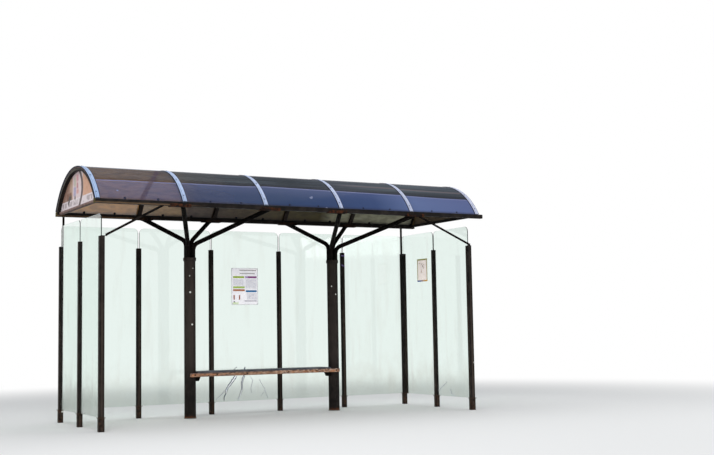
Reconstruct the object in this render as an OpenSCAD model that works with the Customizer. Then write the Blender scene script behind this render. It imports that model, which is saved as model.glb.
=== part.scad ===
// Bus shelter with a barrel-vault roof carried by two tree-like columns,
// and a glazed screen on the rear and on both sides.
// X runs along the shelter, Y to the rear, Z up. The origin is on the floor,
// under the middle of the roof. All lengths are in millimetres.

/* [Roof] */
// Distance between two arched ribs
bay_pitch = 1000; // [960:5:1010]
// Height of the eave beams' top face above the floor
eave_z = 2496; // [2450:2:2600]
// Distance of each eave beam's outer face from the middle of the roof
eave_y = 812; // [806:1:820]
// Outer radius of the curved roof sheets
vault_r = 950; // [930:5:1000]
// Thickness of a roof sheet
sheet_t = 8; // [6:1:10]
// Width of an arched rib, along the roof
rib_w = 50; // [44:1:56]
// Depth of an arched rib, towards the vault's centre
rib_d = 40; // [34:1:46]
// Wall of the tube that a rib is bent from
rib_wall = 3; // [2:0.5:5]
// Width of the cover strip clamped over each rib
strip_w = 52; // [50:1:64]
// Thickness of a cover strip
strip_t = 5; // [4:0.5:8]

/* [Eave beams] */
// Width of an eave beam
beam_w = 60; // [56:1:70]
// Height of an eave beam
beam_h = 50; // [44:1:60]
// Wall of an eave beam
beam_wall = 4; // [3:0.5:6]
// Outer corner radius of the rolled box sections
tube_corner_r = 5; // [3:0.5:6]
// Length of the beams beyond the middle of each end rib
beam_overhang = 25; // [25:1:60]
// Extra length of the front beam at its right end
front_beam_extra = 53; // [0:1:60]
// Thickness of the plates that close the beams
beam_cap_t = 5; // [4:1:8]

/* [Gables] */
// Height and width of the rail under each gable panel
gable_rail = 34; // [28:1:44]
// Thickness of a gable panel
gable_t = 6; // [4:1:10]
// Distance of each gable inwards from the middle of its rib
gable_inset = 19; // [0:1:20]

/* [Columns and branches] */
// Distance of each column from the middle between the two
column_x = 991; // [960:1:1020]
// Shift of the columns and the bench along the shelter, from the middle of the roof
column_shift = -14; // [-30:1:0]
// Distance of the columns behind the middle of the roof
column_y = 343; // [300:1:380]
// Outer diameter of a column
column_d = 140; // [130:1:150]
// Wall of a column
column_wall = 5; // [4:0.5:8]
// Height of the columns' top face
column_h = 1948; // [1900:1:2000]
// Height of the collar round the top of a column
collar_h = 36; // [30:1:50]
// Diameter of the collar
collar_d = 158; // [154:1:170]
// Diameter of a branch tube
branch_d = 54; // [44:1:56]
// Offset of each branch from the column's axis, in X and in Y
branch_offset = 33; // [29:1:34]
// Height at which the front branches start to bend
front_bend_z = 2030; // [2000:5:2080]
// Height at which the rear branches start to bend
rear_bend_z = 2092; // [2060:1:2120]
// Radius of the bends, at the middle of the tube
branch_bend_r = 100; // [80:5:140]
// Sideways reach of the front branches from the middle of their shoes' pair
front_reach = 512; // [490:1:540]
// Sideways reach of the rear branches from the middle of their shoes' pair
rear_reach = 420; // [400:1:440]

/* [Shoes] */
// Distance of each pair of shoes from the middle of the roof
shoe_pair_x = 1000; // [980:5:1020]
// Distance of the front shoes from the middle of their pair
front_shoe_reach = 555; // [540:5:570]
// Distance of the rear shoes from the middle of their pair
rear_shoe_reach = 455; // [440:5:470]
// Length of the shoe between a branch and its beam
shoe_l = 250; // [240:5:300]
// Thickness of the shoe's bottom plate
shoe_t = 8; // [6:1:12]
// Height of the shoe's side flanges
shoe_flange_h = 26; // [20:1:40]
// Thickness of the shoe's side flanges
shoe_flange_t = 5; // [4:1:8]

/* [Screens] */
// Shift of the screens along the shelter, from the middle of the roof
screen_shift = -55; // [-60:1:0]
// Distance between two rear posts
post_pitch = 960; // [920:1:964]
// Distance between two side posts
side_pitch = 812; // [800:1:814]
// Width of a rear or side post
post_w = 50; // [44:1:54]
// Width of a front post
front_post_w = 56; // [52:1:60]
// Wall of a post
post_wall = 3; // [2:0.5:4]
// Height of the posts' top faces
post_top = 2087; // [2050:1:2120]
// Thickness of the glass
glass_t = 10; // [8:1:12]
// Height of the ledge that the glass stands on
ledge_z = 152; // [120:1:180]
// Height of the glass's top edge
glass_top = 2337; // [2250:1:2350]
// Radius of the glass's top corners
glass_corner_r = 65; // [40:1:100]

/* [Ties] */
// Diameter of the stay from a front post to the front beam
stay_d = 19; // [16:1:20]
// Shift of each stay's lower end to the right, from the middle of its post
stay_foot_shift = 46; // [40:1:48]
// Distance of the left stay's top end from the middle of the roof
left_stay_top_x = 1752; // [1730:1:1770]
// Distance of the right stay's top end from the middle of the roof
right_stay_top_x = 1624; // [1600:1:1640]
// Thickness of the lug that holds a stay on its post
stay_lug_t = 6; // [4:1:8]
// Width of the square hanger between a rear corner post and the rear beam
hanger_w = 22; // [14:1:24]

/* [Bench] */
// Height of the seat's top face
seat_z = 562; // [540:1:600]
// Thickness of the seat
seat_t = 32; // [25:1:45]
// Depth of the seat behind its front rail
seat_depth = 312; // [260:2:340]
// Height of the front rail's section
bench_rail_h = 46; // [40:1:60]
// Depth of the front rail's section
bench_rail_d = 52; // [40:1:60]

/* [Timetable] */
// Width of the timetable sheet
sheet_w = 370; // [300:5:420]
// Height of the timetable sheet
sheet_h = 475; // [400:5:594]

/* [Hidden] */
bays = 5;
roof_half = bays * bay_pitch / 2;
vault_z = eave_z - sqrt(vault_r * vault_r - pow(eave_y - 6, 2));
rib_out = vault_r - sheet_t;
rib_in = rib_out - rib_d;
beam_mid_y = eave_y - beam_w / 2;
beam_z = eave_z - beam_h;
shoe_z = beam_z - shoe_t;
strip_web = 8;
sheet_gap = strip_web / 2 + 0.5;
end_sheet_reach = 10;
groove = 2;
rear_y = side_pitch;
screen_x = [for (i = [0:bays]) screen_shift + (i - bays / 2) * post_pitch];
slot_w = glass_t + 1;
web_half = 6;
glass_inset = 8;
ledge_t = 6;
foot_wall = 5;
stay_y = -side_pitch - 4;
stay_head_y = -beam_mid_y - 10;
stay_reserve = 60;
bend_lap = 3;
bend_step = 0.1;
seat_front_y = column_y - column_d / 2 + 4;
rail_drop = 16;
rail_overhang = 26;
rail_chamfer = 5;
gable_x = roof_half - gable_inset;
rail_wall = 3;
rear_tip_inset = 7;
branch_cut_inset = 6;
far = 4000;
$fn = 72;

FRAME = [0.17, 0.15, 0.14];
RUST = [0.36, 0.20, 0.12];
ALUMINIUM = [0.82, 0.84, 0.88];
SMOKED = [0.33, 0.32, 0.42, 0.75];
CLEAR = [0.75, 0.85, 0.82, 0.4];

// Rectangle of w by h about its middle, with rounded corners.
module rounded_box(w, h, r) {
    square([w - 2 * r, h], center = true);
    square([w, h - 2 * r], center = true);
    for (x = [-1, 1], y = [-1, 1])
        translate([x * (w / 2 - r), y * (h / 2 - r)]) circle(r = r, $fn = 32);
}

// Section of a rolled box tube of w by h, with the given wall.
module box_tube(w, h, wall) {
    difference() {
        rounded_box(w, h, tube_corner_r);
        rounded_box(w - 2 * wall, h - 2 * wall, max(tube_corner_r - wall, 1));
    }
}

// A band bent round the vault's axis from the profile of its children, where
// the profile's x is the radius and its y runs along the roof. The band is
// cut level with the top of the eave beams.
module vault_band(x) {
    half_angle = acos((eave_z - vault_z) / (vault_r + strip_t)) + 3;
    intersection() {
        translate([x, 0, vault_z]) rotate([0, -90, 0])
            rotate([0, 0, -half_angle]) rotate_extrude(angle = 2 * half_angle, $fn = 144)
                children();
        translate([-far, -far, eave_z]) cube([2 * far, 2 * far, far]);
    }
}

// Rib i of the roof: a rectangular tube bent to the vault's radius.
module arch_rib(i) {
    color(FRAME) vault_band((i - 1) * bay_pitch - roof_half)
        translate([rib_in + rib_d / 2, 0]) box_tube(rib_d, rib_w, rib_wall);
}

// Sheet i of the roof, lying on two ribs. It stops short of the strips' webs,
// and the first and last sheets reach over the middle of the end ribs.
module roof_sheet(i) {
    low = (i - 1) * bay_pitch - roof_half + (i == 1 ? -end_sheet_reach : sheet_gap);
    high = i * bay_pitch - roof_half - (i == bays ? -end_sheet_reach : sheet_gap);
    color(SMOKED) vault_band((low + high) / 2)
        translate([rib_out, -(high - low) / 2]) square([sheet_t, high - low]);
}

// Cap profile of a cover strip: a flat bar with two fine grooves, over a web
// that stands on the rib between web_low and web_high.
module strip_profile(web_low, web_high) {
    difference() {
        translate([vault_r, -strip_w / 2]) square([strip_t, strip_w]);
        for (side = [-1, 1])
            translate([vault_r + strip_t - 1.5, side * strip_w / 5 - groove / 2])
                square([2, groove]);
    }
    translate([rib_out, web_low]) square([sheet_t + 1, web_high - web_low]);
}

// The strips over the six ribs. On the end ribs the web closes the outer edge
// of the roof sheet.
module cover_strips() {
    edge = end_sheet_reach + 0.5;
    color(ALUMINIUM) {
        for (i = [1:bays - 1])
            vault_band(i * bay_pitch - roof_half) strip_profile(-strip_web / 2, strip_web / 2);
        vault_band(-roof_half) strip_profile(edge, strip_w / 2);
        vault_band(roof_half) strip_profile(-strip_w / 2, -edge);
    }
}

// X of the left (end -1) or right (end 1) end of the beam on the side given by sign.
function beam_end(end, sign) =
    end * (roof_half + beam_overhang) + (end > 0 && sign < 0 ? front_beam_extra : 0);

// Eave beam on the side given by sign: a box tube, closed by its caps.
module eave_beam(sign) {
    low = beam_end(-1, sign);
    color(FRAME) translate([low, sign * beam_mid_y, eave_z - beam_h / 2]) rotate([90, 0, 90])
        linear_extrude(beam_end(1, sign) - low) box_tube(beam_w, beam_h, beam_wall);
}

// Steel plates that close the four beam ends.
module beam_end_caps() {
    color(RUST) for (end = [-1, 1], sign = [-1, 1])
        translate([beam_end(end, sign) - (end < 0 ? beam_cap_t : 0), sign * beam_mid_y,
                   eave_z - beam_h / 2])
            rotate([90, 0, 90]) linear_extrude(beam_cap_t)
                rounded_box(beam_w, beam_h, tube_corner_r);
}

// Box tube between the two beams, under the gable panel of one end.
module gable_rail(end) {
    color(FRAME) translate([end * gable_x, 0, eave_z - gable_rail / 2]) rotate([90, 0, 0])
        linear_extrude(2 * (eave_y - beam_w), center = true)
            box_tube(gable_rail, gable_rail, rail_wall);
}

// Gable panel: the segment of the vault inside the end rib.
module gable_panel(end) {
    base = eave_z - vault_z;
    color(CLEAR) translate([end * gable_x - gable_t / 2, 0, vault_z]) rotate([90, 0, 90])
        linear_extrude(gable_t) intersection() {
            circle(r = rib_in, $fn = 144);
            translate([-rib_in, base]) square([2 * rib_in, rib_in]);
        }
}

// Column: a steel pipe with a collar and a closed top.
module column(side) {
    color(FRAME) translate([side * column_x + column_shift, column_y, 0]) difference() {
        union() {
            cylinder(h = column_h, d = column_d);
            translate([0, 0, column_h - collar_h]) cylinder(h = collar_h, d = collar_d);
        }
        translate([0, 0, -1]) cylinder(h = column_h - 7, d = column_d - 2 * column_wall);
    }
}

// Branch of the column at side. along is -1 or 1 in X, across is -1 for the
// front beam and 1 for the rear one. The tube rises from the column's top,
// bends once and runs straight to the shoe under the beam. The straight parts
// lap into the bend and are a hair thinner. The end is cut level with the shoe
// and flush with the beam's outer face.
module branch(side, along, across) {
    base = [side * column_x + column_shift + along * branch_offset,
            column_y + across * branch_offset];
    reach = across < 0 ? front_reach : rear_reach;
    bend_z = across < 0 ? front_bend_z : rear_bend_z;
    tip = [side * shoe_pair_x + along * reach,
           across * (beam_mid_y - (across > 0 ? rear_tip_inset : 0))];
    run = norm(tip - base);
    heading = atan2(tip[1] - base[1], tip[0] - base[0]);
    rise = shoe_z - bend_z;
    lean = atan2(run - branch_bend_r, rise)
        + asin(branch_bend_r / norm([run - branch_bend_r, rise]));
    straight = (rise - branch_bend_r * sin(lean)) / cos(lean) + 2 * branch_d;
    color(FRAME) intersection() {
        translate([base[0], base[1], 0]) rotate([0, 0, heading]) union() {
            translate([0, 0, column_h])
                cylinder(h = bend_z - column_h + bend_lap, d = branch_d - bend_step);
            translate([branch_bend_r, 0, bend_z]) rotate([90, 0, 180])
                rotate_extrude(angle = lean) translate([branch_bend_r, 0]) circle(d = branch_d);
            translate([branch_bend_r, 0, bend_z]) rotate([0, lean, 0])
                translate([-branch_bend_r, 0, -bend_lap])
                    cylinder(h = straight, d = branch_d - bend_step);
        }
        translate([-far, across < 0 ? branch_cut_inset - eave_y : -far, 0])
            cube([2 * far, far + eave_y - branch_cut_inset, shoe_z]);
    }
}

// Shoes between the branches and one beam: a plate under the beam with a
// flange up each side of it.
module beam_shoes(across) {
    reach = across < 0 ? front_shoe_reach : rear_shoe_reach;
    width = beam_w + 2 * shoe_flange_t;
    color(RUST) for (side = [-1, 1], along = [-1, 1])
        translate([side * shoe_pair_x + along * reach - shoe_l / 2, across * beam_mid_y, shoe_z])
            difference() {
                translate([0, -width / 2, 0]) cube([shoe_l, width, shoe_t + shoe_flange_h]);
                translate([-1, -beam_w / 2, shoe_t]) cube([shoe_l + 2, beam_w, beam_h]);
            }
}

// Section of a post: an extruded square with a cross of webs, a chamber in each
// corner and one towards each side. Towards the given headings that chamber is
// an open glazing slot.
module post_section(width, headings, chambers) {
    inner = width / 2 - post_wall;
    corner_low = slot_w / 2 + post_wall;
    difference() {
        rounded_box(width, width, tube_corner_r / 2);
        for (a = [0, 90, 180, 270]) rotate(a) {
            if (len(search(a, headings)) > 0)
                translate([web_half, -slot_w / 2]) square([width, slot_w]);
            else if (chambers)
                translate([web_half, -slot_w / 2]) square([inner - web_half, slot_w]);
            if (chambers)
                translate([corner_low, corner_low])
                    square([inner - corner_low, inner - corner_low]);
        }
    }
}

// Post at x, y of a square section with a glazing slot towards each of the
// given headings. It has a closed top, and stands on a ledge plate with an
// open middle and on a tubular foot.
module glazing_post(x, y, width, headings) {
    foot_w = width + 6;
    ledge_w = width + 24;
    cap_t = 4;
    foot_hole = foot_w - 2 * foot_wall;
    ledge_hole = width - 2 * post_wall;
    translate([x, y, 0]) {
        translate([0, 0, ledge_z - 1]) linear_extrude(post_top - cap_t - ledge_z + 1)
            post_section(width, headings, true);
        translate([0, 0, post_top - cap_t]) linear_extrude(cap_t)
            post_section(width, headings, false);
        difference() {
            union() {
                translate([0, 0, ledge_z - ledge_t / 2])
                    cube([ledge_w, ledge_w, ledge_t], center = true);
                linear_extrude(ledge_z - 1) rounded_box(foot_w, foot_w, tube_corner_r);
            }
            translate([-foot_hole / 2, -foot_hole / 2, -1])
                cube([foot_hole, foot_hole, ledge_z - ledge_t + 1]);
            translate([-ledge_hole / 2, -ledge_hole / 2, 0])
                cube([ledge_hole, ledge_hole, ledge_z + 1]);
        }
    }
}

module rear_left_corner_post() {
    color(FRAME) glazing_post(screen_x[0], rear_y, post_w, [0, 270]);
}

module rear_right_corner_post() {
    color(FRAME) glazing_post(screen_x[bays], rear_y, post_w, [180, 270]);
}

module rear_middle_posts() {
    color(FRAME) for (i = [1:bays - 1])
        glazing_post(screen_x[i], rear_y, post_w, [0, 180]);
}

module side_middle_posts() {
    color(FRAME) for (x = [screen_x[0], screen_x[bays]])
        glazing_post(x, 0, post_w, [90, 270]);
}

module front_posts() {
    color(FRAME) for (x = [screen_x[0], screen_x[bays]])
        glazing_post(x, -side_pitch, front_post_w, [90]);
}

// Pane of toughened glass of the given width, with rounded top corners, in the
// XZ plane about its middle.
module pane(width) {
    r = glass_corner_r;
    h = glass_top - ledge_z;
    color(CLEAR) translate([-width / 2, glass_t / 2, ledge_z]) rotate([90, 0, 0])
        linear_extrude(glass_t) union() {
            square([width, h - r]);
            translate([r, 0]) square([width - 2 * r, h]);
            for (x = [r, width - r]) translate([x, h - r]) circle(r = r);
        }
}

module rear_glass(i) {
    translate([(screen_x[i - 1] + screen_x[i]) / 2, rear_y, 0])
        pane(post_pitch - 2 * glass_inset);
}

module side_glass(x, y) {
    translate([x, y, 0]) rotate([0, 0, 90]) pane(side_pitch - 2 * glass_inset);
}

// Stay from the top of the front post at one end to the front beam, in front of
// the side glass. A flat lug on the post's top carries its lower end. The left
// stay meets the beam itself, the right one the shoe under it.
module front_stay(end) {
    post_x = screen_x[end < 0 ? 0 : bays];
    foot = [post_x + stay_foot_shift, stay_y];
    head = [end < 0 ? -left_stay_top_x : right_stay_top_x, stay_head_y];
    top_z = end < 0 ? beam_z : shoe_z;
    run = norm(head - foot);
    rise = top_z - post_top;
    lug_w = stay_d + 3;
    lug_l = stay_foot_shift + stay_d / 2 + 16;
    intersection() {
        translate([foot[0], foot[1], post_top])
            rotate([0, 0, atan2(head[1] - foot[1], head[0] - foot[0])])
                rotate([0, atan2(run, rise), 0])
                    translate([0, 0, -stay_reserve]) rotate(90)
                        cylinder(h = norm([run, rise]) + 2 * stay_reserve, d = stay_d);
        translate([min(foot[0], head[0]) - stay_reserve, foot[1] - stay_reserve, post_top + 1])
            cube([run + 2 * stay_reserve, 2 * stay_reserve, rise - 1]);
    }
    translate([post_x, stay_y - lug_w / 2, post_top]) cube([lug_l, lug_w, stay_lug_t]);
}

module front_stays() {
    color(FRAME) for (end = [-1, 1]) front_stay(end);
}

// Hangers that tie the rear corner posts to the rear beam, in the inner corner
// of the two panes.
module corner_hangers() {
    inset = (slot_w + hanger_w) / 2 + 1;
    color(FRAME) for (end = [-1, 1])
        translate([screen_x[end < 0 ? 0 : bays] - end * inset, rear_y - inset, post_top])
            linear_extrude(beam_z - post_top) difference() {
                rounded_box(hanger_w, hanger_w, 2);
                rounded_box(hanger_w - 5, hanger_w - 5, 1);
            }
}

// Seat board between the columns.
module bench_seat() {
    half = column_x - column_d / 2 - 5;
    color([0.22, 0.22, 0.24]) translate([column_shift - half, seat_front_y, seat_z - seat_t])
        cube([2 * half, seat_depth, seat_t]);
}

// Timber along the front of the seat, notched round the fronts of the columns,
// with its long edges chamfered.
module bench_front_rail() {
    half = column_x + rail_overhang;
    d = bench_rail_d;
    h = bench_rail_h;
    c = rail_chamfer;
    color([0.62, 0.42, 0.28]) translate([column_shift, 0, 0]) difference() {
        translate([-half, seat_front_y - d, seat_z - rail_drop - h]) rotate([90, 0, 90])
            linear_extrude(2 * half) polygon([
                [c, 0], [d, 0], [d, h], [c, h], [0, h - c], [0, c]
            ]);
        for (side = [-1, 1]) translate([side * column_x, column_y, 0])
            cylinder(h = seat_z, d = column_d);
    }
}

// Welded brackets on the inner sides of the columns, under the seat.
module bench_brackets() {
    reach = column_d / 2 + 60;
    depth = 83;
    color(FRAME) for (side = [-1, 1]) translate([side * column_x + column_shift, column_y, 0])
        mirror([side > 0 ? 1 : 0, 0, 0]) difference() {
            translate([0, 40, seat_z - seat_t]) rotate([90, 0, 0]) linear_extrude(80)
                polygon([[50, 0], [reach, 0], [reach, -16], [reach - 30, -depth], [50, -depth]]);
            translate([0, 0, seat_z - seat_t - depth - 1])
                cylinder(h = depth + 2, d = column_d);
        }
}

// Printed sheet in a thin holder on the front of the third rear pane.
module timetable_sheet() {
    holder_t = 3;
    color("white") translate([-254, rear_y - glass_t / 2 - holder_t, 1385])
        cube([sheet_w, holder_t, sheet_h]);
}

column(-1);  // left_column
column(1);  // right_column
branch(-1, -1, -1);  // left_branch_front_outer
branch(-1, 1, -1);  // left_branch_front_inner
branch(-1, -1, 1);  // left_branch_rear_outer
branch(-1, 1, 1);  // left_branch_rear_inner
branch(1, 1, -1);  // right_branch_front_outer
branch(1, -1, -1);  // right_branch_front_inner
branch(1, 1, 1);  // right_branch_rear_outer
branch(1, -1, 1);  // right_branch_rear_inner
beam_shoes(-1);  // front_beam_shoes
beam_shoes(1);  // rear_beam_shoes
eave_beam(-1);  // front_eave_beam
eave_beam(1);  // rear_eave_beam
beam_end_caps();
arch_rib(1);  // arch_rib_1
arch_rib(2);  // arch_rib_2
arch_rib(3);  // arch_rib_3
arch_rib(4);  // arch_rib_4
arch_rib(5);  // arch_rib_5
arch_rib(6);  // arch_rib_6
roof_sheet(1);  // roof_sheet_1
roof_sheet(2);  // roof_sheet_2
roof_sheet(3);  // roof_sheet_3
roof_sheet(4);  // roof_sheet_4
roof_sheet(5);  // roof_sheet_5
cover_strips();
gable_rail(-1);  // left_gable_rail
gable_rail(1);  // right_gable_rail
gable_panel(-1);  // left_gable_panel
gable_panel(1);  // right_gable_panel
rear_left_corner_post();
rear_right_corner_post();
rear_middle_posts();
side_middle_posts();
front_posts();
rear_glass(1);  // rear_glass_1
rear_glass(2);  // rear_glass_2
rear_glass(3);  // rear_glass_3
rear_glass(4);  // rear_glass_4
rear_glass(5);  // rear_glass_5
side_glass(screen_x[0], side_pitch / 2);  // left_glass_rear
side_glass(screen_x[0], -side_pitch / 2);  // left_glass_front
side_glass(screen_x[bays], side_pitch / 2);  // right_glass_rear
side_glass(screen_x[bays], -side_pitch / 2);  // right_glass_front
front_stays();
corner_hangers();
bench_seat();
bench_front_rail();
bench_brackets();
timetable_sheet();
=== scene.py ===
import math
import random

import bmesh
import bpy
from mathutils import Matrix, Vector


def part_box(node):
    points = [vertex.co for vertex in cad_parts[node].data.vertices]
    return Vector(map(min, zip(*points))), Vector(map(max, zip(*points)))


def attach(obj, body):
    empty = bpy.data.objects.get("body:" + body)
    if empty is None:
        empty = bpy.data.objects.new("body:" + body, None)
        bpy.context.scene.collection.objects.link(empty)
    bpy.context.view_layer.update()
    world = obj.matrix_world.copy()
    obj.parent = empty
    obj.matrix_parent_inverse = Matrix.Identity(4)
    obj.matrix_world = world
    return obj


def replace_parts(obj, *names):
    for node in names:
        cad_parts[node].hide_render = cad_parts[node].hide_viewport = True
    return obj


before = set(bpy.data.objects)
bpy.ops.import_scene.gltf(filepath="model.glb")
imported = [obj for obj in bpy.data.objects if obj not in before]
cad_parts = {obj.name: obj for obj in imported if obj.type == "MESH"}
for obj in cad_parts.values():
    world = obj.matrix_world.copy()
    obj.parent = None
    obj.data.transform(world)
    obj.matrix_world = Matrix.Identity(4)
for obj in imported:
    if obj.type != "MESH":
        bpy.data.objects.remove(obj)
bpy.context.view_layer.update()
chance = random.Random(11)


# Columns. Two steel pipes, each closed by a plate inside a collar and sealed
# round the foot. Brown-black satin paint, chipped in places to the pale primer,
# with a painted highlight down the side that faces front and left.
COLUMN_X = (-1.005, 0.977)
COLUMN_Y = 0.343
COLUMN_TOP = 1.948
COLLAR_LOW = 1.912
COLUMN_R = 0.070
BRANCH_R = 0.027
BRANCH_OFFSET = 0.033
COLLAR_WELD_R, PLATE_WELD_R, WELD_R = 0.0035, 0.0030, 0.0045
SEAL_R, SEAL_Z = 0.0045, 0.0055


def shade(red, green, blue):
    """A colour read off as 0 to 255 display values, as Blender's linear colour."""
    return tuple(
        (c / 12.92 if c <= 0.04045 else ((c + 0.055) / 1.055) ** 2.4)
        for c in (red / 255, green / 255, blue / 255)
    ) + (1.0,)


class Value:
    """A node's output, which adds, multiplies and compares like a number."""

    def __init__(self, finish, socket):
        self.finish, self.socket = finish, socket

    def __add__(self, other):
        return self.finish.math("ADD", self, other)

    def __sub__(self, other):
        return self.finish.math("SUBTRACT", self, other)

    def __rsub__(self, other):
        return self.finish.math("SUBTRACT", other, self)

    def __mul__(self, other):
        return self.finish.math("MULTIPLY", self, other)

    def __truediv__(self, other):
        return self.finish.math("DIVIDE", self, other)

    def __pow__(self, other):
        return self.finish.math("POWER", self, other)

    def __gt__(self, other):
        return self.finish.math("GREATER_THAN", self, other)

    def __abs__(self):
        return self.finish.math("ABSOLUTE", self)

    __radd__, __rmul__ = __add__, __mul__


class Finish:
    """The nodes of a material or of the world, measured in the shelter's own frame."""

    def __init__(self, owner):
        self.owner = owner
        owner.use_nodes = True
        self.nodes, self.links = owner.node_tree.nodes, owner.node_tree.links
        self.nodes.clear()
        self.end = self.nodes.new(
            "ShaderNodeOutputWorld" if isinstance(owner, bpy.types.World)
            else "ShaderNodeOutputMaterial"
        )
        self.place = self.node("TexCoord", out="Object")
        self.x, self.y, self.z = self.node(
            "SeparateXYZ", sockets={"Vector": self.place}, out=(0, 1, 2)
        )

    def node(self, kind, settings=None, sockets=None, out=0):
        """One node: its settings first, then what its sockets hold or are linked to."""
        made = self.nodes.new("ShaderNode" + kind)
        for key, value in (settings or {}).items():
            if key == "stops":
                ramp = made.color_ramp.elements
                while len(ramp) < len(value):
                    ramp.new(0.5)
                for stop, (place, colour) in zip(ramp, value):
                    stop.position = place
                    stop.color = colour
            else:
                setattr(made, key, value)
        for key, value in (sockets or {}).items():
            if isinstance(value, Value):
                self.links.new(value.socket, made.inputs[key])
            else:
                made.inputs[key].default_value = value
        if isinstance(out, tuple):
            return [Value(self, made.outputs[key]) for key in out]
        return Value(self, made.outputs[out])

    def math(self, operation, *terms):
        return self.node("Math", {"operation": operation}, dict(enumerate(terms)))

    def ramp(self, value, *stops):
        """A number, or a display colour, that follows value through (place, ...) stops."""
        return self.node("ValToRGB", {"stops": [
            (place, shade(*tone) if len(tone) == 3 else tone * 3 + [1]) for place, *tone in stops
        ]}, {"Fac": value})

    def rise(self, value, low, high):
        """0 at low, 1 at high and beyond, smooth between them."""
        return self.node(
            "MapRange", {"interpolation_type": "SMOOTHSTEP"},
            {"Value": value, "From Min": low, "From Max": high},
        )

    def band(self, value, low, high, soft=0.0006):
        """1 between low and high, 0 outside, with an edge of the given softness."""
        inside = self.rise(value, low - soft, low + soft)
        return inside * self.rise(value, high + soft, high - soft)

    def grain(self, scale, detail=3.0, stretch=(1, 1, 1), shift=0.0, rough=0.5):
        """Cloudy noise about 0.5. It repeats at about 1 / scale metres, divided by stretch."""
        where = self.node(
            "Mapping", sockets={"Vector": self.place, "Location": (shift,) * 3, "Scale": stretch}
        )
        return self.node(
            "TexNoise",
            sockets={"Vector": where, "Scale": scale, "Detail": detail, "Roughness": rough},
        )

    def near(self, spot, radius, ragged=0.35):
        """1 close to the spot, 0 beyond the radius, with a ragged edge."""
        off = self.node(
            "VectorMath", {"operation": "DISTANCE"}, {0: self.place, 1: spot}, out="Value")
        wobble = (self.grain(2.2 / radius, 2) - 0.5) * (2 * ragged * radius)
        return self.rise(off + wobble, radius, radius * 0.75)

    def mix(self, share, low, high):
        """Colour low where share is 0, colour high where it is 1."""
        return self.node("Mix", {"data_type": "RGBA"}, {0: share, 6: low, 7: high}, out=2)

    def faces(self, way):
        """1 where the surface faces the direction way, 0 where it is square to it."""
        turn = self.node("NewGeometry", out="Normal")
        return self.node(
            "VectorMath", {"operation": "DOT_PRODUCT"},
            {0: turn, 1: Vector(way).normalized()}, out="Value",
        )

    def bump(self, height, depth, strength=1.0):
        return self.node(
            "Bump", sockets={"Height": height, "Distance": depth, "Strength": strength})

    def surface(self, base, rough, **more):
        """Ends the material in one Principled shader."""
        sockets = {"Base Color": base, "Roughness": rough}
        sockets.update({key.replace("_", " "): value for key, value in more.items()})
        shader = self.node("BsdfPrincipled", sockets=sockets)
        self.links.new(shader.socket, self.end.inputs["Surface"])
        return shader


def new_finish(name):
    return Finish(bpy.data.materials.new(name))


def weathered_paint(name, fresh, worn, rust=0.5, foot=0.0, fade=(2.3, 0.2), specular=0.06):
    """Satin paint: fresh at the top of fade, worn at its foot, with streaks that
    run down, specks of rust and a rusty hem up to the height foot."""
    f = new_finish(name)
    age = f.rise(f.z, *fade)
    runs = f.rise(f.grain(1, 5, (38, 38, 1.1)), 0.4, 0.68)
    cloud = f.rise(f.grain(9, 6, rough=0.6), 0.38, 0.66)
    paint = f.mix(age * 0.7 + runs * 0.3, fresh, worn)
    paint = f.mix(cloud * 0.16, paint, shade(84, 74, 68))
    specks = f.rise(f.grain(210, 4, rough=0.7), 0.64, 0.7)
    specks = specks * f.rise(f.grain(14, 3, shift=3), 0.45, 0.62)
    rusting = specks * (0.35 + age * 0.65) * rust
    if foot:
        hem = f.rise(f.z + (f.grain(26, 4, (1, 1, 0.4)) - 0.5) * foot, foot, 0.0)
        rusting = rusting + hem * 0.85
    rusty = f.mix(f.grain(60, 5), shade(58, 32, 20), shade(128, 74, 42))
    f.paint = f.mix(rusting, paint, rusty)
    f.relief = f.bump(f.grain(330, 3) * 0.35 + rusting * 0.65, 0.0012, 0.5)
    f.rough = 0.5 + runs * 0.16 + rusting * 0.3
    f.specular = specular
    return f


def close_paint(f, flecks=()):
    """Ends a weathered paint. Each fleck is a chip down to the pale primer."""
    for spot, radius in flecks:
        f.paint = f.mix(f.near(spot, radius), f.paint, shade(232, 232, 226))
    f.surface(f.paint, f.rough, Normal=f.relief, Specular_IOR_Level=f.specular)
    return f.owner


def dress(nodes, material, bevel=0.0):
    """Gives CAD nodes their finish, and breaks their sharp edges by the bevel."""
    for name in [nodes] if isinstance(nodes, str) else nodes:
        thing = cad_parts[name]
        thing.data.materials.clear()
        thing.data.materials.append(material)
        if bevel:
            weld = thing.modifiers.new("weld", "WELD")
            weld.merge_threshold = 0.00002
            edge = thing.modifiers.new("broken_edges", "BEVEL")
            edge.width, edge.segments, edge.limit_method = bevel, 2, "ANGLE"
            edge.angle_limit = math.radians(40)
            edge.harden_normals = True


def piece(name, bm, material):
    """Ends a mesh that was made in place, and fixes it to the shelter."""
    bmesh.ops.recalc_face_normals(bm, faces=bm.faces)
    mesh = bpy.data.meshes.new(name)
    bm.to_mesh(mesh)
    bm.free()
    mesh.shade_smooth()
    mesh.set_sharp_from_angle(angle=math.radians(35))
    mesh.materials.append(material)
    thing = bpy.data.objects.new(name, mesh)
    bpy.context.scene.collection.objects.link(thing)
    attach(thing, "root")
    return thing


def skin(bm, rings, closed=False):
    """Joins rings of points into a tube, and caps its two ends unless it is closed."""
    sides = len(rings[0])
    for a, b in zip(rings, rings[1:] + (rings[:1] if closed else [])):
        for k in range(sides):
            bm.faces.new((a[k], a[(k + 1) % sides], b[(k + 1) % sides], b[k]))
    if not closed:
        bm.faces.new(rings[0])
        bm.faces.new(rings[-1])


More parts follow.
